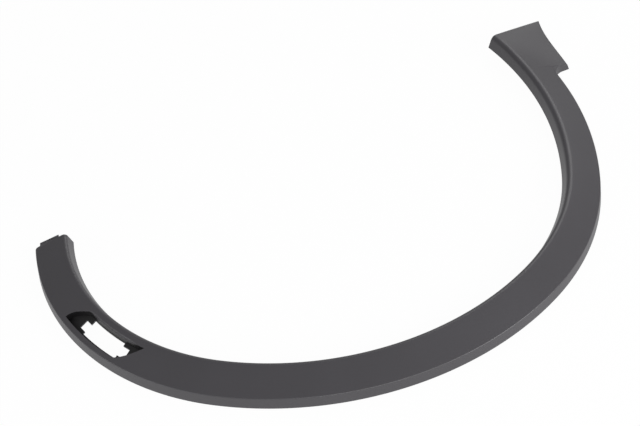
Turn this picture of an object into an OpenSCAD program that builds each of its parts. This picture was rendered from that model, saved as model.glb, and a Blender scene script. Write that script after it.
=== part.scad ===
// Wheel arch trim: one injection moulding that edges the wheel opening of a car.
// It lies face up. X runs along the car, Z points out from its side, and the
// wheel opening points to +Y. The origin is the middle of the trim's outline, on
// the plane of the panel that it is fixed to.

/* [Arch line] */
// Radius of the outer edge along the front leg
front_r = 348; // [320:1:380]
// Sweep of the front leg in degrees
front_sweep = 69; // [60:0.5:74]
// Radius of the outer edge over the wheel
crown_r = 470; // [430:1:500]
// Sweep of the stretch over the wheel in degrees
crown_sweep = 62.5; // [54:0.5:68]
// Radius of the rear shoulder
shoulder_r = 379; // [350:1:410]
// Sweep of the rear shoulder in degrees
shoulder_sweep = 35.5; // [30:0.5:42]
// Radius of the rear leg, which opens out
rear_r = 556; // [500:1:620]
// Sweep of the rear leg in degrees
rear_sweep = 37.9; // [33:0.1:40]
// Bearing of the front end from its arc's centre in degrees
front_bearing = 168; // [160:0.5:175]

/* [Section] */
// Height of the outer flange from panel to edge
flange_h = 17; // [12:0.5:20]
// How far the flange leans out at the panel
flange_splay = 1.4; // [0:0.1:4]
// Width of the face, seen from the front
face_w = 47; // [40:0.5:54]
// How far the face rises towards the wheel
face_rise = 18.7; // [10:0.1:22]
// Depth of the lip at the wheel opening
lip_d = 20.2; // [14:0.2:24]
// How far the lip leans into the wheel opening
lip_splay = 8; // [4:0.5:14]
// Wall thickness of the moulding
wall = 2.8; // [2:0.1:3.4]
// Radius on the outer edge of the face
outer_edge_r = 3; // [1:0.1:4]
// Radius on the inner edge of the face
inner_edge_r = 6; // [2:0.1:7]

/* [Lamp pocket] */
// Distance along the outer edge from the front end to the pocket
pocket_s = 155; // [120:1:180]
// Length of the pocket along the outer edge side
pocket_l = 108.5; // [100:0.5:120]
// Distance of the pocket from the outer edge of the face
pocket_t = 7; // [6:0.2:9]
// Width of the pocket across the face
pocket_w = 28.3; // [26:0.1:30]
// How far the front end of the pocket slants back
pocket_front_slant = 27; // [20:1:36]
// How far the rear point runs past the outer side
pocket_rear_point = 36; // [25:1:45]
// Depth of the pocket below the face
pocket_d = 10; // [8:0.5:11]
// Thickness of the pocket floor and walls
pocket_wall = 2.2; // [1.6:0.1:3]
// Width of the rounded lead in on the pocket's wheel side
pocket_lead_in = 3; // [1:0.5:4]

/* [Lamp window] */
// Distance from the front end to the window's main cut
window_s = 192; // [188:1:196]
// Length of the window's main cut
window_l = 69.5; // [60:0.5:72]
// Width of the window's main cut
window_w = 24; // [20:0.5:25]
// Length of the front ear of the window
front_ear_l = 12; // [6:0.5:13]
// Width of the front ear of the window
front_ear_w = 12.4; // [8:0.2:16]
// Length of the rear ear of the window
rear_ear_l = 13; // [8:0.5:15]
// Width of the rear ear of the window
rear_ear_w = 14; // [8:0.2:16]
// Slanted corner of the rear ear
rear_ear_slant = 6; // [2:0.5:8]

/* [Tail] */
// Length of the widened tail at the rear end
tail_l = 102.5; // [90:0.5:125]
// How far the step of the tail juts out
tail_step = 29.3; // [20:0.1:34]
// How far the tail stands out at its end
tail_out = 48.3; // [38:0.1:54]
// Height of the tail's outer edge at the step
tail_step_h = 10; // [8:0.5:14]
// Height of the tail's outer edge at its end
tail_end_h = 19.5; // [16:0.5:24]
// How far the tail's outer wall leans out at the panel
tail_splay = 3.2; // [1:0.1:6]
// Radius in the corner of the step
step_corner_r = 20; // [10:0.5:24]
// Distance in from the outer edge at which the tail's face starts to lift
tail_knee = 8; // [5:0.5:14]
// How much higher the face stands there at the tail's end
tail_lift = 9.3; // [5:0.1:12]

/* [Front tongue] */
// Length of the tongue that the next panel laps over
tongue_l = 6; // [4:0.5:12]
// Distance of the tongue from the outer edge of the face
tongue_t = 7; // [5:0.5:10]
// Width of the tongue
tongue_w = 29; // [20:0.5:32]
// How far the tongue lies below the face
tongue_step = 1.1; // [0.6:0.1:1.4]

/* [Clip seats] */
// Distances of the clip seats from the front end
clip_s = [62, 370, 560, 760, 960, 1150, 1330];
// Distance of the clip holes from the outer edge
clip_t = 20; // [18:0.5:22]
// Width of the slot that the clip slides into
clip_slot_w = 7; // [5:0.2:9]
// Thickness of the plate that the clip grips
clip_plate = 2.5; // [2:0.1:3]
// Height of a clip seat above the panel
clip_lift = 2; // [1:0.5:4]
// Length of a clip seat along the arch
clip_seat_l = 22; // [20:1:26]
// Width of a clip seat across the arch
clip_seat_w = 19; // [17:0.5:21]
// Wall thickness of the clip seats and ribs
rib_wall = 1.8; // [1.4:0.1:2.2]

/* [Ribs] */
// Distances of the plain stiffening ribs from the front end
rib_s = [30, 115, 318, 465, 660, 860, 1055, 1240, 1390];
// Height of the ribs' free edge above the panel
rib_lift = 4; // [3:0.5:8]

/* [Tail screws] */
// Distance of the two screw bosses from each other, along the car
screw_gap = 44; // [34:1:50]
// Distance of the screws' middle from the rear end
screw_from_end = 50; // [40:1:60]
// Distance of the screws' middle from the outer edge, outwards
screw_out = 1; // [-4:0.5:4]
// Outer radius of a screw boss
boss_r = 4.5; // [4:0.1:6]
// Radius of the pilot bore for the screw
boss_bore_r = 1.9; // [1.5:0.1:2.4]
// Depth of the pilot bore
boss_bore_d = 10; // [6:0.5:11]
// Height of the bosses' end above the panel
boss_lift = 1; // [0.5:0.5:3]

/* [Locating pegs] */
// Distances of the locating pegs from the front end
peg_s = [415, 1105];
// Distance of the pegs from the outer edge
peg_t = 22; // [18:0.5:26]
// Radius of a locating peg
peg_r = 3; // [2.5:0.1:4]
// Length of a locating peg, up to its shoulder
peg_l = 13.5; // [8:0.5:14.5]
// Radius of the shoulder that the peg stands on
peg_base_r = 5; // [4:0.1:6.5]
// Height of the pegs' end above the panel
peg_lift = 0.5; // [0:0.5:2]

/* [Hidden] */
$fn = 96;
// Small overlap that joins a feature to the wall
bite = 0.8;
// Small length that lets a cut run past a face
past = 1;

arcs = [
    [front_r, front_sweep],
    [crown_r, crown_sweep],
    [shoulder_r, shoulder_sweep],
    [rear_r, rear_sweep]
];
last = len(arcs) - 1;

// Bearing at which arc i starts
function arc_bearing(i) = i == 0 ? front_bearing : arc_bearing(i - 1) + arcs[i - 1][1];

// Centre of arc i from that of the front leg: each arc meets the one before on a
// shared normal
function arc_offset(i) =
    i == 0 ? [0, 0]
    : arc_offset(i - 1)
      + (arcs[i - 1][0] - arcs[i][0]) * [cos(arc_bearing(i)), sin(arc_bearing(i))];

// Length along the outer edge at which arc i starts
function arc_start(i) =
    i == 0 ? 0 : arc_start(i - 1) + arcs[i - 1][0] * arcs[i - 1][1] * PI / 180;

trim_l = arc_start(last) + rear_r * rear_sweep * PI / 180;
tail_s = trim_l - tail_l;

// The arc that length s along the outer edge lies on
function arc_at(s, i = 0) = i == last || s < arc_start(i + 1) ? i : arc_at(s, i + 1);

// Bearing of the outward normal at length s
function bearing_at(s) =
    let(i = arc_at(s)) arc_bearing(i) + (s - arc_start(i)) / arcs[i][0] * 180 / PI;

// Plan point at length s along and distance t in from the outer edge, seen from
// the front leg's centre
function spot(s, t) =
    let(i = arc_at(s), b = bearing_at(s))
    arc_offset(i) + (arcs[i][0] - t) * [cos(b), sin(b)];

// Outer edge of the tail a share u of the way from its step to its end
function tail_edge_t(u) = -(tail_step + (tail_out - tail_step) * (0.26 * u + 0.74 * pow(u, 3.6)));
function tail_edge_h(u) = tail_step_h + (tail_end_h - tail_step_h) * u;

// Foot of the tail's outer wall, and with it the middle of the whole outline
tail_steps = 10;
tail_foot = [
    for (k = [0:tail_steps])
        let(u = k / tail_steps) spot(tail_s + tail_l * u, tail_edge_t(u) - tail_splay)
];
outline_mid = [
    max([for (p = tail_foot) p[0]]) - front_r - flange_splay,
    max([for (p = tail_foot) p[1]]) + arc_offset(1)[1] - crown_r - flange_splay
] / 2;

// Centre of arc i, with the middle of the outline at the origin
function arc_centre(i) = arc_offset(i) - outline_mid;

// Point at length s along, distance t in from the outer edge and height z
function at(s, t, z) =
    let(p = spot(s, t) - outline_mid)
    [p[0], p[1], z];

// Length and distance in of a plan point beside the rear leg
function rear_place(p) =
    let(
        c = arc_centre(last),
        b = atan2(p[1] - c[1], p[0] - c[0]) + 360,
        r = norm([p[0] - c[0], p[1] - c[1]])
    )
    [arc_start(last) + (b - arc_bearing(last)) * rear_r * PI / 180, rear_r - r];

// Puts children at length s: their X points out, their Y along the arch
module on_path(s) {
    translate(at(s, 0, 0)) rotate(bearing_at(s)) children();
}

// Unit vector along v, and v turned a quarter turn
function unit(v) = v / norm(v);
function quarter(v) = [-v[1], v[0]];

// Where the line through p along u meets the line through q along v
function meet(p, u, q, v) =
    let(d = u[0] * v[1] - u[1] * v[0], w = q - p)
    p + u * (w[0] * v[1] - w[1] * v[0]) / d;

// Corners of the open line pts moved by w to its right
function beside(pts, w) =
    let(
        n = len(pts) - 1,
        u = [for (i = [0:n - 1]) unit(pts[i + 1] - pts[i])],
        q = [for (i = [0:n - 1]) pts[i] - quarter(u[i]) * w]
    )
    [for (i = [0:n])
        i == 0 ? q[0]
        : i == n ? pts[n] - quarter(u[n - 1]) * w
        : meet(q[i - 1], u[i - 1], q[i], u[i])];

// The corner b between a and c as a round of radius r in n steps
function round_corner(a, b, c, r, n) =
    let(
        u = unit(a - b),
        v = unit(c - b),
        half = acos(u * v) / 2,
        reach = min(r / tan(half), norm(a - b) * 0.45, norm(c - b) * 0.45),
        rr = reach * tan(half),
        m = b + unit(u + v) * rr / sin(half),
        from = b + u * reach - m,
        turn = 180 - 2 * half,
        side = u[0] * v[1] - u[1] * v[0] > 0 ? -1 : 1
    )
    [for (k = [0:n])
        let(g = side * turn * k / n)
        m + [from[0] * cos(g) - from[1] * sin(g), from[0] * sin(g) + from[1] * cos(g)]];

face_slope = face_rise / face_w;

// Height of the face at distance t in from the outer edge
function face_z(t) = flange_h + face_slope * t;

// Outer line of the section as [distance in, height]: foot, edge, knee of the face,
// inner edge, lip
function outer_line(edge_t = 0, edge_h = flange_h, splay = flange_splay, lift = 0) = [
    [edge_t - splay, 0],
    [edge_t, edge_h],
    [tail_knee, face_z(tail_knee) + lift],
    [face_w, face_z(face_w)],
    [face_w + lip_splay, face_z(face_w) - lip_d]
];

// Inner line of the section, one wall inside, with its foot on the panel. Its flange
// lies a further distance in where the wall of the step crosses the section
function inner_line(line, further = 0) =
    let(
        b = beside(line, wall),
        u = unit(b[2] - b[1]),
        edge = b[1] + u * further / u[0],
        foot = meet(edge, b[1] - b[0], [0, 0], [1, 0])
    )
    [foot, edge, b[2], b[3], b[4]];

edge_steps = 5;

// The whole C section with its rounded edges
function section(line, further = 0) =
    let(inner = inner_line(line, further))
    concat(
        [line[0]],
        round_corner(line[0], line[1], line[2], outer_edge_r, edge_steps),
        [line[2]],
        round_corner(line[2], line[3], line[4], inner_edge_r, edge_steps),
        [line[4], inner[4]],
        round_corner(inner[4], inner[3], inner[2], max(inner_edge_r - wall, 0.4), 3),
        [inner[2]],
        round_corner(inner[2], inner[1], inner[0], max(outer_edge_r - wall, 0.4), 3),
        [inner[0]]
    );

arch_line = outer_line();

// Height of the face's back, straight below
function back_z(t) = face_z(t) - wall / cos(atan(face_slope));

// Points of the section that face each other across its wall, from foot to lip
section_pairs = [
    [0, 25], [1, 24], [2, 24], [3, 23], [4, 23], [5, 22], [6, 21], [7, 20],
    [8, 19], [9, 19], [10, 18], [11, 18], [12, 17], [13, 16], [14, 15]
];

// How far the tail's face is lifted at its knee, a share u of the way to its end
function tail_rise(u) = tail_lift * u * u * (3 - 2 * u);

// Height of the wider tail's back at length s and distance t in
function tail_back_z(s, t) =
    let(
        u = (s - tail_s) / tail_l,
        knee = [tail_knee, face_z(tail_knee) + tail_rise(u)],
        a = t < tail_knee ? [tail_edge_t(u), tail_edge_h(u)] : knee,
        b = t < tail_knee ? knee : [face_w, face_z(face_w)],
        slope = (b[1] - a[1]) / (b[0] - a[0])
    )
    a[1] + slope * (t - a[0]) - wall / cos(atan(slope));
function skin_back_z(s, t) = s > tail_s ? tail_back_z(s, t) : back_z(t);

// Solid between rings of points, closed at both ends. The pairs name the points that
// face each other across the ring, from one end of its strip to the other
module loft(rings, pairs) {
    n = len(rings[0]);
    m = len(rings);
    top = (m - 1) * n;
    points = [for (ring = rings) each ring];
    sides = [
        for (i = [0:m - 2], j = [0:n - 1])
            let(a = i * n + j, b = i * n + (j + 1) % n)
            each [[a, b, a + n], [b, b + n, a + n]]
    ];
    cap = [
        for (k = [0:len(pairs) - 2])
            let(p = pairs[k], q = pairs[k + 1])
            each concat(
                p[0] == q[0] ? [] : [[p[0], q[0], p[1]]],
                p[1] == q[1] ? [] : [[q[0], q[1], p[1]]]
            )
    ];
    ends = [for (f = cap) each [[f[2], f[1], f[0]], [top + f[0], top + f[1], top + f[2]]]];
    polyhedron(points, concat(sides, ends), convexity = 10);
}

// Ring of section points [t, z] at length s
function ring_at(s, pts) = [for (p = pts) at(s, p[0], p[1])];

// Stations of the constant section, close enough on each arc that the chords stay
// within about 0.2 mm of it. Each is [length, edge, edge height, splay, lift of the
// knee, how much further in the inner face of the flange lies]
station_step = 3.2;
corner_steps = 6;
corner_start = tail_s - step_corner_r;
arch_stations = [
    for (i = [0:last])
        let(
            from = i == 0 ? -tongue_l : arc_start(i),
            to = i == last ? corner_start : arc_start(i + 1),
            n = ceil((to - from) / arcs[i][0] * 180 / PI / station_step)
        )
        for (k = [0:n - 1]) [from + (to - from) * k / n, 0, flange_h, flange_splay, 0, 0]
];

// Where the inner face of the step's rounded wall lies, a length d past the corner's start
function step_inner_t(d) = sqrt(max(pow(step_corner_r + wall, 2) - d * d, 0)) - step_corner_r;

// Stations round the corner of the tail's step
corner_stations = [
    for (k = [0:corner_steps])
        let(
            g = 90 * k / corner_steps,
            d = step_corner_r * sin(g),
            edge = -step_corner_r * (1 - cos(g))
        )
        [
            corner_start + d, edge, flange_h + (flange_h - tail_step_h) * edge / tail_step,
            flange_splay, 0, step_inner_t(d) - edge - wall
        ]
];

// Stations through the thickness of the step's wall
step_run = 0.4;
step_stations = [
    for (k = [0:4])
        let(d = step_run + (wall - step_run) * k / 4, u = d / tail_l)
        [
            tail_s + d, tail_edge_t(u), tail_edge_h(u), tail_splay, tail_rise(u),
            step_inner_t(step_corner_r + d) - tail_edge_t(u) - wall
        ]
];

// Stations of the widened tail, from just past the wall of its step to the rear end
tail_stations = [
    for (k = [0:tail_steps])
        let(
            from = wall + step_run,
            d = from + (tail_l - from) * k / tail_steps,
            u = d / tail_l
        )
        [tail_s + d, tail_edge_t(u), tail_edge_h(u), tail_splay, tail_rise(u), 0]
];

// The channel that the whole trim is made of, swept along the arch
module channel() {
    loft([
        for (r = concat(arch_stations, corner_stations, step_stations, tail_stations))
            ring_at(r[0], section(outer_line(r[1], r[2], r[3], r[4]), r[5]))
    ], section_pairs);
}

// What is cut from the front end so that only the tongue is left of it: the outer
// flange, the lip and the top of the face
module tongue_cuts() {
    far = tongue_t + tongue_w;
    reach = tongue_l + past;
    tall = flange_h + face_rise + 2 * past;
    on_path(0) {
        translate([-tongue_t, -reach, -past]) cube([tongue_t + 4 * past + flange_splay, reach, tall]);
        translate([-far - face_w, -reach, -past]) cube([face_w, reach, tall]);
        rotate([90, 0, 0])
            linear_extrude(reach)
                polygon([for (p = [[0, 0], [face_w, 0], [face_w, 2 * wall], [0, 2 * wall]])
                    [-p[0], face_z(p[0]) - tongue_step + p[1]]]);
    }
}

// Plan of the lamp pocket: its sides as [along, in] from front to rear, grown by g
pocket_end = pocket_s + pocket_l + pocket_rear_point;
function pocket_near(s, g = 0) =
    let(over = (s - (pocket_s + pocket_l)) / pocket_rear_point)
    pocket_t - g + (over > 0 ? (pocket_w - 0.6) * pow(over, 1.25) : 0);
function pocket_far(s, g = 0) =
    let(u = (s - pocket_s) / pocket_front_slant)
    pocket_t + g + (u < 1 ? 0.6 + (pocket_w - 0.6) * pow(max(u, 0), 0.5) : pocket_w);

// Solid that follows the face between the pocket's sides, from height lo to hi below it
module pocket_fill(g, lo, hi, n = 24) {
    stations = [for (k = [0:n]) pocket_s + (pocket_end - pocket_s) * (1 - cos(180 * k / n)) / 2];
    rings = [
        for (s = stations)
            let(
                a = pocket_near(s, g),
                b = max(pocket_far(s, g), a + 0.6),
                e = s == stations[0] ? -g : s == stations[n] ? g : 0
            )
            ring_at(s + e, [[a, face_z(a) - lo], [b, face_z(b) - lo], [b, face_z(b) - hi], [a, face_z(a) - hi]])
    ];
    loft(rings, [[0, 3], [1, 2]]);
}

// Rounded lead in along the wheel side of the pocket
module pocket_rim() {
    from = pocket_s + pocket_front_slant - 4;
    to = pocket_end - 12;
    t = pocket_t + pocket_w;
    loft([
        for (k = [0:14])
            let(s = from + (to - from) * k / 14, w = max(pocket_lead_in * sin(30 * min(k, 3, 14 - k)), 0.2))
            ring_at(s, [
                [t + w, face_z(t + w) + past],
                [t + w, face_z(t + w) + 0.02],
                [t + w * 0.35, face_z(t + w * 0.35) - 0.9 * w],
                [t, face_z(t) - 2 * w],
                [t - past, face_z(t) - 2 * w],
                [t - past, face_z(t - past) + past]
            ])
    ], [[1, 0], [2, 5], [3, 4]]);
}

// A straight cut through the pocket floor, at length s, l along and w wide
module window_cut(s, l, t, w) {
    on_path(s + l / 2)
        translate([-t - w, -l / 2, 0])
            cube([w, l, flange_h + face_rise]);
}

window_t = pocket_t + pocket_w - 0.6 - window_w;
module window() {
    mid = window_t + window_w / 2;
    // The main cut bends with the arch in three straight lengths
    lengths = 3;
    step = window_l / lengths;
    for (k = [0:lengths - 1])
        window_cut(window_s + k * step - 0.5, step + 1, window_t, window_w);
    window_cut(window_s - front_ear_l, front_ear_l + past, mid - front_ear_w / 2 - 1.3, front_ear_w);
    near = mid - rear_ear_w / 2 + 0.8;
    on_path(window_s + window_l)
        linear_extrude(flange_h + face_rise)
            polygon([
                [-near, -past],
                [-near, rear_ear_l - rear_ear_slant],
                [-near - rear_ear_slant, rear_ear_l],
                [-near - rear_ear_w, rear_ear_l],
                [-near - rear_ear_w, -past]
            ]);
}

// Block that reaches from height lo to the back of the face at length s, l long, from t0 to t1
module under_face(s, l, t0, t1, lo, top = bite) {
    translate([0, l / 2, 0])
        rotate([90, 0, 0])
            linear_extrude(l)
                polygon([
                    [-t0, lo],
                    [-t0, skin_back_z(s, t0) + top],
                    [-t1, skin_back_z(s, t1) + top],
                    [-t1, lo]
                ]);
}

// Rib across the channel, from flange to lip
module rib(s) {
    inner = inner_line(arch_line);
    low_lip = inner[4] + unit(inner[3] - inner[4]) * 2;
    wall_bite = bite * 0.8;
    outline = beside([
        meet(inner[0], inner[1] - inner[0], [0, rib_lift], [1, 0]), inner[1], inner[3], low_lip
    ], -wall_bite);
    on_path(s)
        translate([0, rib_wall / 2, 0])
            rotate([90, 0, 0])
                linear_extrude(rib_wall)
                    polygon([for (p = outline) [-p[0], p[1]]]);
}

clip_near = clip_t - clip_seat_w / 2;
clip_far = clip_t + clip_seat_w / 2;

module clip_seat(s) {
    on_path(s) under_face(s, clip_seat_l, clip_near, clip_far, clip_lift);
}

// The space inside a clip seat and the slot that the clip slides into
module clip_space(s) {
    on_path(s) {
        under_face(s, clip_seat_l - 2 * rib_wall, clip_near + rib_wall, clip_far + past,
            clip_lift + clip_plate, 0);
        translate([-clip_t, 0, clip_lift - past])
            cylinder(d = clip_slot_w, h = clip_plate + 2 * past);
        translate([-clip_far - past, -clip_slot_w / 2, clip_lift - past])
            cube([clip_far + past - clip_t, clip_slot_w, clip_plate + 2 * past]);
    }
}

// A round post from height lo up into the wall, cut to the slope of the face
module post(s, t, r, lo) {
    on_path(s)
        intersection() {
            translate([-t, 0, lo]) cylinder(r = r, h = flange_h + face_rise);
            under_face(s, 4 * r, t - 2 * r, t + 2 * r, lo - past);
        }
}

// A locating peg on its shoulder
module peg(s) {
    shoulder = peg_lift + peg_l;
    post(s, peg_t, peg_base_r, shoulder);
    on_path(s) translate([-peg_t, 0, peg_lift]) cylinder(r = peg_r, h = peg_l + bite);
}

screw_mid = at(trim_l - screw_from_end, -screw_out, 0);
screw_places = [for (side = [-1, 1]) rear_place(screw_mid + [side * screw_gap / 2, 0, 0])];

module arch_trim() {
    color("dimgray")
    difference() {
        union() {
            channel();
            pocket_fill(pocket_wall, wall / 2, pocket_d + pocket_wall);
            for (s = rib_s) rib(s);
            for (s = clip_s) clip_seat(s);
            for (s = peg_s) peg(s);
            for (q = screw_places) post(q[0], q[1], boss_r, boss_lift);
        }
        tongue_cuts();
        pocket_fill(0, -5, pocket_d);
        pocket_rim();
        window();
        for (s = clip_s) clip_space(s);
        for (q = screw_places)
            on_path(q[0]) translate([-q[1], 0, boss_lift - past])
                cylinder(r = boss_bore_r, h = boss_bore_d + past);
    }
}

arch_trim();
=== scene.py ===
import math

import bmesh
import bpy
from mathutils import Matrix, Vector


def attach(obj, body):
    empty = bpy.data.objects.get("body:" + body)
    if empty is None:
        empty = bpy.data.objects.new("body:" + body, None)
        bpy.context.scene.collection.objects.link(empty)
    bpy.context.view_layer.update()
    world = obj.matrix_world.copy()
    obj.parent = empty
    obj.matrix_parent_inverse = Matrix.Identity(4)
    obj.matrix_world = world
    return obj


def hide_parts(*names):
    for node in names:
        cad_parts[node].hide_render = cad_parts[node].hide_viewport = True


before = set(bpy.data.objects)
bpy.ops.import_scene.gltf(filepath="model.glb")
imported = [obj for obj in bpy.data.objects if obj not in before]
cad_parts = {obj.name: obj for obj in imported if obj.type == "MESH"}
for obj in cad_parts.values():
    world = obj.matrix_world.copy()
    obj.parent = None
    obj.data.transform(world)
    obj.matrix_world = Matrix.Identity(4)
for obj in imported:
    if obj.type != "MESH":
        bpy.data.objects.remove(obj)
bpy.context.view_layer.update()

# Arch line: radius of the outer edge and sweep in degrees of each arc, as in the part's source
MM = 0.001
ARCS = ((348.0, 69.0), (470.0, 62.5), (379.0, 35.5), (556.0, 37.9))
FRONT_BEARING = 168.0
LAST = len(ARCS) - 1

# Section, in millimetres
FLANGE_H = 17.0
FLANGE_SPLAY = 1.4
FACE_W = 47.0
FACE_RISE = 18.7
LIP_D = 20.2
LIP_SPLAY = 8.0
WALL = 2.8
OUTER_EDGE_R = 1.8
INNER_EDGE_R = 6.0
BACK_EDGE_R = 0.4

# The inner edge is rounded more from this length on, up to the tail
SOFTER_FROM = 950.0
SOFTER_RUN = 350.0
TAIL_INNER_EDGE_R = 9.0

# Lamp pocket, with the width where its ends run out and the powers of their curves
POCKET_S = 155.0
POCKET_L = 108.5
POCKET_T = 7.0
POCKET_W = 28.3
POCKET_FRONT_SLANT = 27.0
POCKET_REAR_POINT = 36.0
POCKET_D = 10.0
POCKET_WALL = 2.2
POCKET_BLUNT = 0.6
POCKET_REAR_CURVE = 1.25
POCKET_FRONT_CURVE = 0.5
POCKET_CUT_ABOVE = 5.0
POCKET_END = POCKET_S + POCKET_L + POCKET_REAR_POINT

# Rounded lead in on the pocket's wheel side, which runs out over the same length at both ends
POCKET_LEAD_IN = 2.2
POCKET_LEAD_DEPTH = 5.7
# At its full width, the lead in's wall gets the pocket's painted shade from this deep below the face
# down
LEAD_IN_SHADE_FROM = 4.0
LEAD_IN_AHEAD = 4.0
LEAD_IN_SHORT = 12.0
LEAD_IN_RUN = 22.0
LEAD_IN_LEAST = 0.15

# Lamp window, its ears, and the ledge left along its outer side
WINDOW_S = 192.0
WINDOW_L = 69.5
WINDOW_W = 24.0
FRONT_EAR_L = 12.0
FRONT_EAR_W = 12.4
REAR_EAR_L = 13.0
REAR_EAR_W = 14.0
REAR_EAR_SLANT = 6.0
FRONT_EAR_SHIFT = -1.3
REAR_EAR_SHIFT = 0.8
WINDOW_T = POCKET_T + POCKET_W - POCKET_BLUNT - WINDOW_W
WINDOW_LEDGE = 1.2

# Tail: its flare is partly even and partly a power of the length
TAIL_L = 102.5
TAIL_STEP = 29.3
TAIL_OUT = 48.3
TAIL_FLARE_EVEN = 0.26
TAIL_FLARE_POWER = 3.6
TAIL_STEP_H = 10.0
TAIL_END_H = 19.5
TAIL_SPLAY = 3.2
STEP_CORNER_R = 20.0
TAIL_KNEE = 8.0
TAIL_LIFT = 9.3
STEP_RUN = 0.4

# Front tongue, and the rounded front corner of the flange
TONGUE_L = 6.0
TONGUE_T = 7.0
TONGUE_W = 29.0
TONGUE_STEP = 1.1
FRONT_CORNER_R = 5.0

# Clip seats, ribs, screw bosses and pegs on the back
CLIP_S = (62, 370, 560, 760, 960, 1150, 1330)
CLIP_T = 20.0
CLIP_SLOT_W = 7.0
CLIP_PLATE = 2.5
CLIP_LIFT = 2.0
CLIP_SEAT_L = 22.0
CLIP_SEAT_W = 19.0
RIB_WALL = 1.8
RIB_S = (30, 115, 318, 465, 660, 860, 1055, 1240, 1390)
RIB_LIFT = 4.0
RIB_SHORT = 2.0
SCREW_GAP = 44.0
SCREW_FROM_END = 50.0
SCREW_OUT = 1.0
BOSS_R = 4.5
BOSS_BORE_R = 1.9
BOSS_BORE_D = 10.0
BOSS_LIFT = 1.0
PEG_S = (415, 1105)
PEG_T = 22.0
PEG_R = 3.0
PEG_L = 13.5
PEG_BASE_R = 5.0
PEG_LIFT = 0.5
BITE = 0.8
RIB_BITE = BITE * 0.8
PAST = 1.0
CLIP_NEAR = CLIP_T - CLIP_SEAT_W / 2
CLIP_FAR = CLIP_T + CLIP_SEAT_W / 2

# Faces that get the pocket's painted shade: this far past its walls and its floor, and this deep below
# the face
SHADE_PAST_WALL = 0.3
SHADE_PAST_FLOOR = 0.2
SHADE_BELOW_FACE = 0.4

# Fineness of the mesh, and the longest share of a side that a round may take
STATION_DEG = 1.0
FRONT_CORNER_STEPS = 6
EDGE_STEPS = 8
BACK_EDGE_STEPS = 4
FACE_STEPS = 8
SIDE_STEPS = 3
TAIL_STEPS = 24
CORNER_STEPS = 14
STEP_WALL_STEPS = 6
TUB_STEPS = 48
HOLLOW_STEPS = 64
LEAD_IN_STEPS = 6
WINDOW_STEPS = 12
POST_SIDES = 48
BORE_SIDES = 32
FOOT_STEPS = 10
ROUND_SHARE = 0.45


def polar(r, degrees):
    """Plan vector of length r at that bearing."""
    return Vector((r * math.cos(math.radians(degrees)), r * math.sin(math.radians(degrees))))


# Bearing, centre and start length of each arc
BEARINGS = [FRONT_BEARING]
CENTRES = [Vector((0.0, 0.0))]
STARTS = [0.0]
for i in range(LAST):
    bearing = BEARINGS[i] + ARCS[i][1]
    BEARINGS.append(bearing)
    CENTRES.append(CENTRES[i] + polar(ARCS[i][0] - ARCS[i + 1][0], bearing))
    STARTS.append(STARTS[i] + math.radians(ARCS[i][0] * ARCS[i][1]))
TRIM_L = STARTS[LAST] + math.radians(ARCS[LAST][0] * ARCS[LAST][1])
TAIL_S = TRIM_L - TAIL_L
SLOPE = FACE_RISE / FACE_W


def arc_at(s):
    """Number of the arc that holds length s."""
    return max(i for i in range(LAST + 1) if i == 0 or s >= STARTS[i])


def bearing_at(s):
    """Bearing in degrees of the point at length s, seen from its arc's centre."""
    i = arc_at(s)
    return BEARINGS[i] + math.degrees((s - STARTS[i]) / ARCS[i][0])


def spot(s, t):
    """Plan point at length s, t in from the outer edge, from the front arc's centre."""
    i = arc_at(s)
    return CENTRES[i] + polar(ARCS[i][0] - t, bearing_at(s))


def tail_edge_t(u):
    """Place of the outer edge at share u of the tail, below zero for outwards."""
    flare = TAIL_FLARE_EVEN * u + (1 - TAIL_FLARE_EVEN) * u ** TAIL_FLARE_POWER
    return -(TAIL_STEP + (TAIL_OUT - TAIL_STEP) * flare)


def tail_edge_h(u):
    """Height of the outer edge at share u of the tail."""
    return TAIL_STEP_H + (TAIL_END_H - TAIL_STEP_H) * u


# The middle of the outline is the frame's origin
TAIL_FOOT = [
    spot(TAIL_S + TAIL_L * k / FOOT_STEPS, tail_edge_t(k / FOOT_STEPS) - TAIL_SPLAY)
    for k in range(FOOT_STEPS + 1)
]
MID = Vector((
    max(p.x for p in TAIL_FOOT) - ARCS[0][0] - FLANGE_SPLAY,
    max(p.y for p in TAIL_FOOT) + CENTRES[1].y - ARCS[1][0] - FLANGE_SPLAY,
)) / 2


def at(s, t, z):
    """Point in metres at length s, distance t in from the outer edge and height z, in millimetres."""
    p = spot(s, t) - MID
    return Vector((p.x, p.y, z)) * MM


def quarter(v):
    """Vector v turned left by a quarter."""
    return Vector((-v.y, v.x))


def meet(p, u, q, v):
    """Where the line through p along u meets the line through q along v."""
    w = q - p
    return p + u * ((w.x * v.y - w.y * v.x) / (u.x * v.y - u.y * v.x))


def beside(pts, w):
    """Corners of the open line pts moved by w to its right."""
    n = len(pts) - 1
    u = [(pts[i + 1] - pts[i]).normalized() for i in range(n)]
    q = [pts[i] - quarter(u[i]) * w for i in range(n)]
    inner = [meet(q[i - 1], u[i - 1], q[i], u[i]) for i in range(1, n)]
    return [q[0]] + inner + [pts[n] - quarter(u[n - 1]) * w]


def round_corner(a, b, c, r, n):
    """The corner b between a and c as a round of radius r in n steps."""
    u = (a - b).normalized()
    v = (c - b).normalized()
    half = math.acos(max(-1.0, min(1.0, u.dot(v)))) / 2
    reach = min(r / math.tan(half), (a - b).length * ROUND_SHARE, (c - b).length * ROUND_SHARE)
    rr = reach * math.tan(half)
    m = b + (u + v).normalized() * (rr / math.sin(half))
    start = b + u * reach - m
    turn = math.pi - 2 * half
    side = -1 if u.x * v.y - u.y * v.x > 0 else 1
    out = []
    for k in range(n + 1):
        g = side * turn * k / n
        turned = Vector((start.x * math.cos(g) - start.y * math.sin(g),
                         start.x * math.sin(g) + start.y * math.cos(g)))
        out.append(m + turned)
    return out


def face_z(t):
    """Height of the face t in from the outer edge."""
    return FLANGE_H + SLOPE * t


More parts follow.
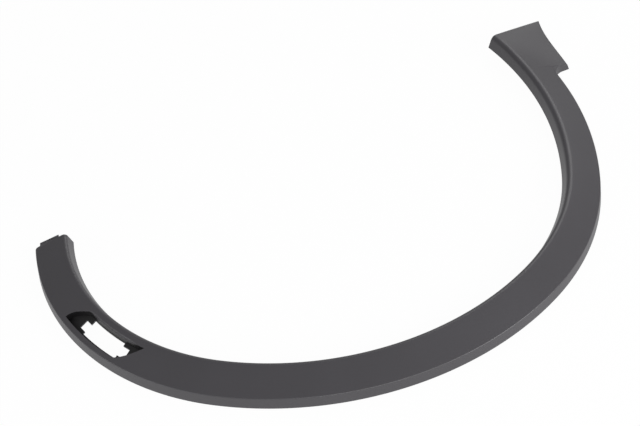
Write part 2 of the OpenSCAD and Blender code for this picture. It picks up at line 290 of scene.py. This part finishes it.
def outer_line(edge_t=0.0, edge_h=FLANGE_H, splay=FLANGE_SPLAY, lift=0.0):
    """Outer line of the section: foot, edge, knee of the face, inner edge, lip."""
    return [Vector(p) for p in (
        (edge_t - splay, 0.0),
        (edge_t, edge_h),
        (TAIL_KNEE, face_z(TAIL_KNEE) + lift),
        (FACE_W, face_z(FACE_W)),
        (FACE_W + LIP_SPLAY, face_z(FACE_W) - LIP_D),
    )]


def inner_line(line, further=0.0):
    """One wall inside the outer line, with the flange a further distance in."""
    b = beside(line, WALL)
    u = (b[2] - b[1]).normalized()
    edge = b[1] + u * (further / u.x)
    foot = meet(edge, b[1] - b[0], Vector((0.0, 0.0)), Vector((1.0, 0.0)))
    return [foot, edge] + b[2:]


def between(a, b, n):
    """The n - 1 points that split the stretch from a to b in n."""
    return [a.lerp(b, k / n) for k in range(1, n)]


def bent(a, knee, b, n):
    """Points from a over the knee to b, the knee drawn out into a soft bend."""
    out = []
    for k in range(1, n):
        u = k / n
        out.append(a * (1 - u) ** 2 + knee * (2 * u * (1 - u)) + b * u ** 2)
    return out


def ease(u):
    """Share u from 0 to 1, with a soft start and end."""
    return u * u * (3 - 2 * u)


def crest_r(s):
    """Radius of the inner edge at length s: it grows softly towards the tail."""
    u = max(0.0, min((s - SOFTER_FROM) / SOFTER_RUN, 1.0))
    return INNER_EDGE_R + (TAIL_INNER_EDGE_R - INNER_EDGE_R) * ease(u)


def section(line, further, inner_r):
    """The C section as a ring of [distance in, height], with rounded edges."""
    inner = inner_line(line, further)
    outer_edge = round_corner(line[0], line[1], line[2], OUTER_EDGE_R, EDGE_STEPS)
    inner_edge = round_corner(line[2], line[3], line[4], inner_r, EDGE_STEPS)
    back_inner = round_corner(inner[4], inner[3], inner[2], inner_r - WALL, BACK_EDGE_STEPS)
    back_r = max(OUTER_EDGE_R - WALL, BACK_EDGE_R)
    back_outer = round_corner(inner[2], inner[1], inner[0], back_r, BACK_EDGE_STEPS)
    ring = [line[0]] + between(line[0], outer_edge[0], SIDE_STEPS) + outer_edge
    ring += bent(outer_edge[-1], line[2], inner_edge[0], FACE_STEPS) + inner_edge
    ring += between(inner_edge[-1], line[4], SIDE_STEPS) + [line[4], inner[4]]
    ring += between(inner[4], back_inner[0], SIDE_STEPS) + back_inner
    ring += bent(back_inner[-1], inner[2], back_outer[0], FACE_STEPS) + back_outer
    ring += between(back_outer[-1], inner[0], SIDE_STEPS) + [inner[0]]
    return ring


def back_z(t):
    """Height of the back of the face t in from the outer edge."""
    return face_z(t) - WALL / math.cos(math.atan(SLOPE))


def tail_rise(u):
    """Lift of the face's knee at share u of the tail."""
    return TAIL_LIFT * ease(u)


def skin_back_z(s, t):
    """Height of the back of the face at length s and t in, in the tail too."""
    if s <= TAIL_S:
        return back_z(t)
    u = (s - TAIL_S) / TAIL_L
    knee = (TAIL_KNEE, face_z(TAIL_KNEE) + tail_rise(u))
    a = (tail_edge_t(u), tail_edge_h(u)) if t < TAIL_KNEE else knee
    b = knee if t < TAIL_KNEE else (FACE_W, face_z(FACE_W))
    slope = (b[1] - a[1]) / (b[0] - a[0])
    return a[1] + slope * (t - a[0]) - WALL / math.cos(math.atan(slope))


def mesh_object(name, verts, faces):
    """A closed mesh with its faces turned outwards."""
    mesh = bpy.data.meshes.new(name)
    mesh.from_pydata(verts, [], faces)
    bm = bmesh.new()
    bm.from_mesh(mesh)
    bmesh.ops.recalc_face_normals(bm, faces=bm.faces)
    bm.to_mesh(mesh)
    bm.free()
    obj = bpy.data.objects.new(name, mesh)
    bpy.context.scene.collection.objects.link(obj)
    return obj


def loft(name, rings):
    """Closed solid through rings of equally many points."""
    n = len(rings[0])
    verts = [p for ring in rings for p in ring]
    faces = []
    for i in range(len(rings) - 1):
        for j in range(n):
            a = i * n + j
            b = i * n + (j + 1) % n
            faces.append((a, b, b + n, a + n))
    faces.append(tuple(range(n)))
    faces.append(tuple((len(rings) - 1) * n + j for j in range(n)))
    return mesh_object(name, verts, faces)


def prism(name, outline, low, high, place):
    """Solid with a flat outline: place(p, h) gives the point of outline point p at height h."""
    rings = [[place(p, h) for p in outline] for h in (low, high)]
    return loft(name, rings)


def on_path(s, out, along, z):
    """Point beside the outer edge at length s: out from it, along the arch, and height z."""
    b = bearing_at(s)
    p = spot(s, 0.0) - MID + polar(out, b) + polar(along, b + 90)
    return Vector((p.x, p.y, z)) * MM


def across(name, s, outline, start, stop):
    """Solid at length s whose outline is [out, height], from start to stop along the arch."""
    return prism(name, outline, start, stop, lambda p, h: on_path(s, p[0], h, p[1]))


def combine(base, tool, how):
    """Boolean of base with tool, which is used up."""
    mod = base.modifiers.new("cut", "BOOLEAN")
    mod.operation = how
    mod.object = tool
    mod.solver = "EXACT"
    graph = bpy.context.evaluated_depsgraph_get()
    done = bpy.data.meshes.new_from_object(base.evaluated_get(graph))
    base.modifiers.clear()
    old = base.data
    base.data = done
    bpy.data.meshes.remove(old)
    bpy.data.objects.remove(tool)


def step_inner_t(d):
    """Where the inner face of the step's rounded wall lies, d past the corner's start."""
    return math.sqrt(max((STEP_CORNER_R + WALL) ** 2 - d * d, 0.0)) - STEP_CORNER_R


def arch_station(s, edge=0.0):
    """Station at length s along the arch."""
    return s, edge, FLANGE_H, FLANGE_SPLAY, 0.0, 0.0


def tail_station(d, further):
    """Station d past the start of the tail."""
    u = d / TAIL_L
    return TAIL_S + d, tail_edge_t(u), tail_edge_h(u), TAIL_SPLAY, tail_rise(u), further


def front_stations():
    """Stations of the tongue and of the rounded front corner of the flange."""
    r = FRONT_CORNER_R
    out = [arch_station(-TONGUE_L, r)]
    for k in range(FRONT_CORNER_STEPS):
        g = math.pi / 2 * k / FRONT_CORNER_STEPS
        out.append(arch_station(r * (1 - math.cos(g)), r * (1 - math.sin(g))))
    return out


def stations():
    """Stations [length, edge, edge height, splay, lift, inner face further in] along the trim."""
    out = front_stations()
    corner = TAIL_S - STEP_CORNER_R
    for i in range(LAST + 1):
        start = FRONT_CORNER_R if i == 0 else STARTS[i]
        stop = corner if i == LAST else STARTS[i + 1]
        n = math.ceil(math.degrees((stop - start) / ARCS[i][0]) / STATION_DEG)
        out += [arch_station(start + (stop - start) * k / n) for k in range(n)]
    for k in range(CORNER_STEPS + 1):
        g = math.pi / 2 * k / CORNER_STEPS
        d = STEP_CORNER_R * math.sin(g)
        edge = -STEP_CORNER_R * (1 - math.cos(g))
        height = FLANGE_H + (FLANGE_H - TAIL_STEP_H) * edge / TAIL_STEP
        out.append((corner + d, edge, height, FLANGE_SPLAY, 0.0, step_inner_t(d) - edge - WALL))
    for k in range(STEP_WALL_STEPS + 1):
        d = STEP_RUN + (WALL - STEP_RUN) * k / STEP_WALL_STEPS
        edge = tail_edge_t(d / TAIL_L)
        out.append(tail_station(d, step_inner_t(STEP_CORNER_R + d) - edge - WALL))
    first = WALL + STEP_RUN
    out += [tail_station(first + (TAIL_L - first) * k / TAIL_STEPS, 0.0) for k in range(TAIL_STEPS + 1)]
    return out


def channel():
    """The swept C channel, with the step and the tail."""
    rings = []
    for s, edge, height, splay, lift, further in stations():
        ring = section(outer_line(edge, height, splay, lift), further, crest_r(s))
        rings.append([at(s, p.x, p.y) for p in ring])
    return loft("arch_moulding", rings)


def tongue_cutters():
    """What leaves only the tongue at the front end."""
    far = TONGUE_T + TONGUE_W
    reach = TONGUE_L + PAST
    tall = FLANGE_H + FACE_RISE + PAST
    top = face_z(FACE_W) - TONGUE_STEP
    low = face_z(0.0) - TONGUE_STEP
    clear = 4 * PAST + FLANGE_SPLAY
    outlines = (
        ((-TONGUE_T, -PAST), (clear, -PAST), (clear, tall), (-TONGUE_T, tall)),
        ((-far - FACE_W, -PAST), (-far, -PAST), (-far, tall), (-far - FACE_W, tall)),
        ((0.0, low), (-FACE_W, top), (-FACE_W, top + 2 * WALL), (0.0, low + 2 * WALL)),
    )
    return [across(f"tongue_cut_{k}", 0.0, outline, -reach, 0.0) for k, outline in enumerate(outlines)]


def pocket_near(s, g=0.0):
    """Outer side of the pocket at length s, moved out by g: it slants in to the rear point."""
    over = max(s - (POCKET_S + POCKET_L), 0.0) / POCKET_REAR_POINT
    return POCKET_T - g + (POCKET_W - POCKET_BLUNT) * over ** POCKET_REAR_CURVE


def pocket_far(s, g=0.0):
    """Wheel side of the pocket at length s, moved in by g: it curves up from the blunt front."""
    u = max(0.0, min((s - POCKET_S) / POCKET_FRONT_SLANT, 1.0))
    return POCKET_T + g + POCKET_BLUNT + (POCKET_W - POCKET_BLUNT) * u ** POCKET_FRONT_CURVE


def lead_in(s):
    """Width of the rounded lead in at length s, run out softly at both ends."""
    start = POCKET_S + POCKET_FRONT_SLANT - LEAD_IN_AHEAD
    stop = POCKET_END - LEAD_IN_SHORT
    room = max(0.0, min((s - start) / LEAD_IN_RUN, (stop - s) / LEAD_IN_RUN, 1.0))
    return max(POCKET_LEAD_IN * math.sin(math.pi / 2 * room), LEAD_IN_LEAST)


def pocket_stations(n):
    """Lengths along the pocket, closer together towards both ends."""
    run = POCKET_END - POCKET_S
    return [POCKET_S + run * (1 - math.cos(math.pi * k / n)) / 2 for k in range(n + 1)]


def pocket_tub():
    """Walls and floor of the pocket, as a block under the face."""
    rings = []
    spots = pocket_stations(TUB_STEPS)
    high = WALL / 2
    deep = POCKET_D + POCKET_WALL
    for s in spots:
        a = pocket_near(s, POCKET_WALL)
        b = max(pocket_far(s, POCKET_WALL), a + POCKET_BLUNT)
        past = -POCKET_WALL if s == spots[0] else POCKET_WALL if s == spots[-1] else 0.0
        ring = ((a, high), (b, high), (b, deep), (a, deep))
        rings.append([at(s + past, t, face_z(t) - depth) for t, depth in ring])
    return loft("tub", rings)


def pocket_hollow():
    """The space of the pocket, with the rounded lead in on its wheel side."""
    rings = []
    for s in pocket_stations(HOLLOW_STEPS):
        a = pocket_near(s)
        b = max(pocket_far(s), a + POCKET_BLUNT)
        w = lead_in(s)
        d = w * POCKET_LEAD_DEPTH / POCKET_LEAD_IN
        ring = [(a, -POCKET_CUT_ABOVE), (a, POCKET_D), (b, POCKET_D)]
        for k in range(LEAD_IN_STEPS + 1):
            g = math.pi / 2 * k / LEAD_IN_STEPS
            ring.append((b + w * (1 - math.cos(g)), d * (1 - math.sin(g))))
        ring.append((b + w, -POCKET_CUT_ABOVE))
        rings.append([at(s, t, face_z(t) - depth) for t, depth in ring])
    return loft("hollow", rings)


def window_cut(name, outline):
    """Cut through the pocket's floor whose outline is [length, distance in] along the arch."""
    return prism(name, outline, 0.0, FLANGE_H + FACE_RISE, lambda p, h: at(p[0], p[1], h))


def window_cutters():
    """The lamp window and its ears for the lamp's feet."""
    mid = WINDOW_T + WINDOW_W / 2
    end = WINDOW_S + WINDOW_L
    front = mid - FRONT_EAR_W / 2 + FRONT_EAR_SHIFT
    rear = mid - REAR_EAR_W / 2 + REAR_EAR_SHIFT
    along = [WINDOW_S + WINDOW_L * k / WINDOW_STEPS for k in range(WINDOW_STEPS + 1)]
    main = [(s, WINDOW_T + WINDOW_LEDGE) for s in along]
    main += [(s, WINDOW_T + WINDOW_W) for s in reversed(along)]
    front_ear = (
        (WINDOW_S - FRONT_EAR_L, front),
        (WINDOW_S + PAST, front),
        (WINDOW_S + PAST, front + FRONT_EAR_W),
        (WINDOW_S - FRONT_EAR_L, front + FRONT_EAR_W),
    )
    rear_ear = (
        (end - PAST, rear),
        (end + REAR_EAR_L - REAR_EAR_SLANT, rear),
        (end + REAR_EAR_L, rear + REAR_EAR_SLANT),
        (end + REAR_EAR_L, rear + REAR_EAR_W),
        (end - PAST, rear + REAR_EAR_W),
    )
    return [
        window_cut("window", main),
        window_cut("front_ear", front_ear),
        window_cut("rear_ear", rear_ear),
    ]


def under_face(name, s, length, near, far, low, top=BITE):
    """Block from height low to the back of the face, top deep into it, from near to far in."""
    near_top = skin_back_z(s, near) + top
    far_top = skin_back_z(s, far) + top
    outline = ((-near, low), (-near, near_top), (-far, far_top), (-far, low))
    return across(name, s, outline, -length / 2, length / 2)


def rib(s):
    """Rib across the channel, from flange to lip."""
    inner = inner_line(outer_line())
    low_lip = inner[4] + (inner[3] - inner[4]).normalized() * RIB_SHORT
    foot = meet(inner[0], inner[1] - inner[0], Vector((0.0, RIB_LIFT)), Vector((1.0, 0.0)))
    outline = [(-p.x, p.y) for p in beside([foot, inner[1], inner[3], low_lip], -RIB_BITE)]
    return across("rib", s, outline, -RIB_WALL / 2, RIB_WALL / 2)


def post(name, s, t, r, low, high=None, sides=POST_SIDES):
    """Round post from height low to high, or into the back of the face and along its slope."""
    foot = []
    head = []
    for k in range(sides):
        g = 2 * math.pi * k / sides
        out = -t + r * math.cos(g)
        top = skin_back_z(s, -out) + BITE if high is None else high
        foot.append(on_path(s, out, r * math.sin(g), low))
        head.append(on_path(s, out, r * math.sin(g), top))
    return loft(name, [foot, head])


def clip_space(s):
    """Cuts of a clip seat: the space over its plate, and the slot in the plate with its round end."""
    half = CLIP_SLOT_W / 2
    plate_top = CLIP_LIFT + CLIP_PLATE
    low = CLIP_LIFT - PAST
    high = plate_top + PAST
    mouth = -CLIP_FAR - PAST
    outline = ((mouth, -half), (-CLIP_T, -half), (-CLIP_T, half), (mouth, half))
    length = CLIP_SEAT_L - 2 * RIB_WALL
    return (
        under_face("space", s, length, CLIP_NEAR + RIB_WALL, CLIP_FAR + PAST, plate_top, 0.0),
        post("slot_end", s, CLIP_T, half, low, high, BORE_SIDES),
        prism("slot", outline, low, high, lambda p, h: on_path(s, p[0], p[1], h)),
    )


def rear_place(p):
    """Length and distance in of a plan point beside the rear leg."""
    d = p - (CENTRES[LAST] - MID)
    b = math.degrees(math.atan2(d.y, d.x)) + 360
    return STARTS[LAST] + math.radians((b - BEARINGS[LAST]) * ARCS[LAST][0]), ARCS[LAST][0] - d.length


def build_moulding():
    """The whole trim: the channel, what is added under its face, and what is cut out."""
    body = channel()
    combine(body, pocket_tub(), "UNION")
    for s in RIB_S:
        combine(body, rib(s), "UNION")
    for s in CLIP_S:
        combine(body, under_face("seat", s, CLIP_SEAT_L, CLIP_NEAR, CLIP_FAR, CLIP_LIFT), "UNION")
    shoulder = PEG_LIFT + PEG_L
    for s in PEG_S:
        combine(body, post("shoulder", s, PEG_T, PEG_BASE_R, shoulder), "UNION")
        combine(body, post("peg", s, PEG_T, PEG_R, PEG_LIFT, shoulder + BITE), "UNION")
    mid = spot(TRIM_L - SCREW_FROM_END, -SCREW_OUT) - MID
    screws = [rear_place(mid + Vector((side * SCREW_GAP / 2, 0.0))) for side in (-1, 1)]
    for s, t in screws:
        combine(body, post("boss", s, t, BOSS_R, BOSS_LIFT), "UNION")
        bore = post("bore", s, t, BOSS_BORE_R, BOSS_LIFT - PAST, BOSS_LIFT + BOSS_BORE_D, BORE_SIDES)
        combine(body, bore, "DIFFERENCE")
    cutters = tongue_cutters() + [pocket_hollow()] + window_cutters()
    for s in CLIP_S:
        cutters += clip_space(s)
    for tool in cutters:
        combine(body, tool, "DIFFERENCE")
    return body


def in_pocket_shade(p):
    """Whether a point of the mesh gets the pocket's painted shade: on a wall or the floor of the
    pocket, or on the window's edge.
    """
    d = Vector((p.x, p.y)) / MM - (CENTRES[0] - MID)
    s = math.radians(math.degrees(math.atan2(d.y, d.x)) % 360 - FRONT_BEARING) * ARCS[0][0]
    t = ARCS[0][0] - d.length
    if not POCKET_S - SHADE_PAST_WALL < s < POCKET_END + SHADE_PAST_WALL:
        return False
    if not pocket_near(s) - SHADE_PAST_WALL < t < pocket_far(s) + SHADE_PAST_WALL:
        return False
    least = SHADE_BELOW_FACE
    if t > pocket_far(s) - SHADE_PAST_WALL:
        least = max(least, LEAD_IN_SHADE_FROM * lead_in(s) / POCKET_LEAD_IN)
    depth = face_z(t) - p.z / MM
    return least < depth < POCKET_D + SHADE_PAST_FLOOR


def paint_pocket_shade(obj, slot):
    """Paint shade on the faces of the pocket: give them the much darker material in that slot."""
    for face in obj.data.polygons:
        face.material_index = slot if in_pocket_shade(face.center) else 0


def smooth_shade(obj, degrees):
    """Smooth shading, with edges sharp where they turn by more than that."""
    obj.data.shade_smooth()
    obj.data.set_sharp_from_angle(angle=math.radians(degrees))
    mod = obj.modifiers.new("even_normals", "WEIGHTED_NORMAL")
    mod.keep_sharp = True


# Plastic: scales of grain and colour drift per metre, and the roughness that the grain varies between
SHARP_FROM_DEG = 32
GRAIN_SCALE = 1400.0
GRAIN_DETAIL = 3.0
GRAIN_STRENGTH = 0.35
DRIFT_SCALE = 9.0
DRIFT_DETAIL = 2.0
DRIFT_DARK = 0.3
DRIFT_LIGHT = 0.7
ROUGHNESS_LOW = 0.42
ROUGHNESS_HIGH = 0.50


def moulded_plastic(name, dark, light, grain_depth, specular):
    """Near black plastic: base colour from dark to light, a moulded grain, and uneven gloss."""
    mat = bpy.data.materials.new(name)
    mat.use_nodes = True
    nodes = mat.node_tree.nodes
    links = mat.node_tree.links
    shader = nodes["Principled BSDF"]
    shader.inputs["Specular IOR Level"].default_value = specular
    coords = nodes.new("ShaderNodeTexCoord")

    grain = nodes.new("ShaderNodeTexNoise")
    grain.inputs["Scale"].default_value = GRAIN_SCALE
    grain.inputs["Detail"].default_value = GRAIN_DETAIL
    bump = nodes.new("ShaderNodeBump")
    bump.inputs["Strength"].default_value = GRAIN_STRENGTH
    bump.inputs["Distance"].default_value = grain_depth
    links.new(coords.outputs["Object"], grain.inputs["Vector"])
    links.new(grain.outputs["Fac"], bump.inputs["Height"])
    links.new(bump.outputs["Normal"], shader.inputs["Normal"])

    drift = nodes.new("ShaderNodeTexNoise")
    drift.inputs["Scale"].default_value = DRIFT_SCALE
    drift.inputs["Detail"].default_value = DRIFT_DETAIL
    links.new(coords.outputs["Object"], drift.inputs["Vector"])

    colour = nodes.new("ShaderNodeValToRGB")
    colour.color_ramp.elements[0].position = DRIFT_DARK
    colour.color_ramp.elements[0].color = (*dark, 1.0)
    colour.color_ramp.elements[1].position = DRIFT_LIGHT
    colour.color_ramp.elements[1].color = (*light, 1.0)
    links.new(drift.outputs["Fac"], colour.inputs["Fac"])
    links.new(colour.outputs["Color"], shader.inputs["Base Color"])

    gloss = nodes.new("ShaderNodeMapRange")
    gloss.inputs["To Min"].default_value = ROUGHNESS_LOW
    gloss.inputs["To Max"].default_value = ROUGHNESS_HIGH
    links.new(grain.outputs["Fac"], gloss.inputs["Value"])
    links.new(gloss.outputs["Result"], shader.inputs["Roughness"])
    return mat


# Floor, world and lamps, with sizes and places in metres and powers in watts
WHITE = (1.0, 1.0, 1.0, 1.0)
FLOOR_HALF = 6.0
FLOOR_GREY = 0.82
FLOOR_GLOW = 0.97
WORLD_STRENGTH = 0.38
LAMP_SIZE = (1.4, 1.2)
LAMPS = (
    ("box_front_right", (1.70, -1.70, 0.97), 42.0),
    ("box_front", (-0.20, -2.24, 1.30), 22.0),
    ("box_back_right", (1.35, 1.46, 1.67), 16.0),
    ("box_left", (-2.36, -0.54, 0.95), 17.0),
)


def white_floor():
    """White to the camera and in reflections, with the object's shadow kept faintly."""
    mat = bpy.data.materials.new("white_floor")
    mat.use_nodes = True
    nodes = mat.node_tree.nodes
    links = mat.node_tree.links
    nodes.clear()
    out = nodes.new("ShaderNodeOutputMaterial")
    paper = nodes.new("ShaderNodeBsdfDiffuse")
    paper.inputs["Color"].default_value = (FLOOR_GREY, FLOOR_GREY, FLOOR_GREY, 1.0)
    glow = nodes.new("ShaderNodeEmission")
    glow.inputs["Color"].default_value = WHITE
    glow.inputs["Strength"].default_value = 1.0
    path = nodes.new("ShaderNodeLightPath")
    sharp = nodes.new("ShaderNodeMath")
    sharp.operation = "ADD"
    links.new(path.outputs["Is Glossy Ray"], sharp.inputs[0])
    links.new(path.outputs["Is Transmission Ray"], sharp.inputs[1])
    seen = nodes.new("ShaderNodeMath")
    seen.operation = "ADD"
    seen.use_clamp = True
    links.new(path.outputs["Is Camera Ray"], seen.inputs[0])
    links.new(sharp.outputs[0], seen.inputs[1])
    share = nodes.new("ShaderNodeMath")
    share.operation = "MULTIPLY"
    share.inputs[1].default_value = FLOOR_GLOW
    links.new(seen.outputs[0], share.inputs[0])
    mix = nodes.new("ShaderNodeMixShader")
    links.new(share.outputs[0], mix.inputs[0])
    links.new(paper.outputs[0], mix.inputs[1])
    links.new(glow.outputs[0], mix.inputs[2])
    links.new(mix.outputs[0], out.inputs["Surface"])
    return mat


def add_floor():
    """Large square floor at height zero, which only the pictures have."""
    corners = ((-1, -1), (1, -1), (1, 1), (-1, 1))
    verts = [Vector((x * FLOOR_HALF, y * FLOOR_HALF, 0.0)) for x, y in corners]
    mesh = bpy.data.meshes.new("floor")
    mesh.from_pydata(verts, [], [(0, 1, 2, 3)])
    floor = bpy.data.objects.new("floor", mesh)
    bpy.context.scene.collection.objects.link(floor)
    floor.data.materials.append(white_floor())


def set_world(strength):
    """White behind the object for the camera, and an even light of that strength for the rest."""
    world = bpy.data.worlds.new("studio")
    bpy.context.scene.world = world
    world.use_nodes = True
    nodes = world.node_tree.nodes
    links = world.node_tree.links
    nodes.clear()
    out = nodes.new("ShaderNodeOutputWorld")
    dim = nodes.new("ShaderNodeBackground")
    dim.inputs["Color"].default_value = WHITE
    dim.inputs["Strength"].default_value = strength
    white = nodes.new("ShaderNodeBackground")
    white.inputs["Color"].default_value = WHITE
    white.inputs["Strength"].default_value = 1.0
    path = nodes.new("ShaderNodeLightPath")
    mix = nodes.new("ShaderNodeMixShader")
    links.new(path.outputs["Is Camera Ray"], mix.inputs[0])
    links.new(dim.outputs[0], mix.inputs[1])
    links.new(white.outputs[0], mix.inputs[2])
    links.new(mix.outputs[0], out.inputs["Surface"])


def soft_box(name, place, power):
    """Large lamp that shines on the frame's origin."""
    light = bpy.data.lights.new(name, "AREA")
    light.shape = "RECTANGLE"
    light.size, light.size_y = LAMP_SIZE
    light.energy = power
    obj = bpy.data.objects.new(name, light)
    obj.location = place
    obj.rotation_euler = (-Vector(place)).to_track_quat("-Z", "Y").to_euler()
    bpy.context.scene.collection.objects.link(obj)


# Camera: place from the front arc's centre in metres, angles in degrees, lens in millimetres
CAMERA_FROM_ARC = Vector((-0.3808, -1.5265, 1.5237))
CAMERA_TURN = 16.389
CAMERA_DOWN = 44.087
CAMERA_ROLL = -5.931
CAMERA_LENS = 84.375
CAMERA_SENSOR = 36.0


def add_camera():
    """The camera of the final picture, turned from +Y towards +X, tilted down and rolled."""
    turn = math.radians(CAMERA_TURN)
    down = math.radians(CAMERA_DOWN)
    ahead = Vector((math.sin(turn) * math.cos(down), math.cos(turn) * math.cos(down), -math.sin(down)))
    right = Vector((math.cos(turn), -math.sin(turn), 0.0))
    up = right.cross(ahead)
    roll = math.radians(CAMERA_ROLL)
    side = right * math.cos(roll) + up * math.sin(roll)
    top = up * math.cos(roll) - right * math.sin(roll)
    place = CAMERA_FROM_ARC - Vector((MID.x, MID.y, 0.0)) * MM
    data = bpy.data.cameras.new("camera")
    data.sensor_width = CAMERA_SENSOR
    data.lens = CAMERA_LENS
    cam = bpy.data.objects.new("camera", data)
    cam.matrix_world = Matrix.Translation(place) @ Matrix((side, top, -ahead)).transposed().to_4x4()
    bpy.context.scene.collection.objects.link(cam)
    bpy.context.scene.camera = cam


moulding = build_moulding()
moulding.data.materials.clear()
moulding.data.materials.append(moulded_plastic(
    "grained_plastic",
    dark=(0.0335, 0.0310, 0.0362),
    light=(0.0380, 0.0353, 0.0412),
    grain_depth=0.00005,
    specular=0.75,
))
# Pocket's walls and floor: a far darker base colour as painted shade, with less specular and a finer
# grain
moulding.data.materials.append(moulded_plastic(
    "pocket_painted_shade",
    dark=(0.0060, 0.0057, 0.0063),
    light=(0.0080, 0.0076, 0.0084),
    grain_depth=0.00004,
    specular=0.40,
))
paint_pocket_shade(moulding, 1)
smooth_shade(moulding, SHARP_FROM_DEG)
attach(moulding, "root")
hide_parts("arch_trim")

add_floor()
set_world(WORLD_STRENGTH)
for name, place, power in LAMPS:
    soft_box(name, place, power)
add_camera()

bpy.context.scene.view_settings.view_transform = "Standard"
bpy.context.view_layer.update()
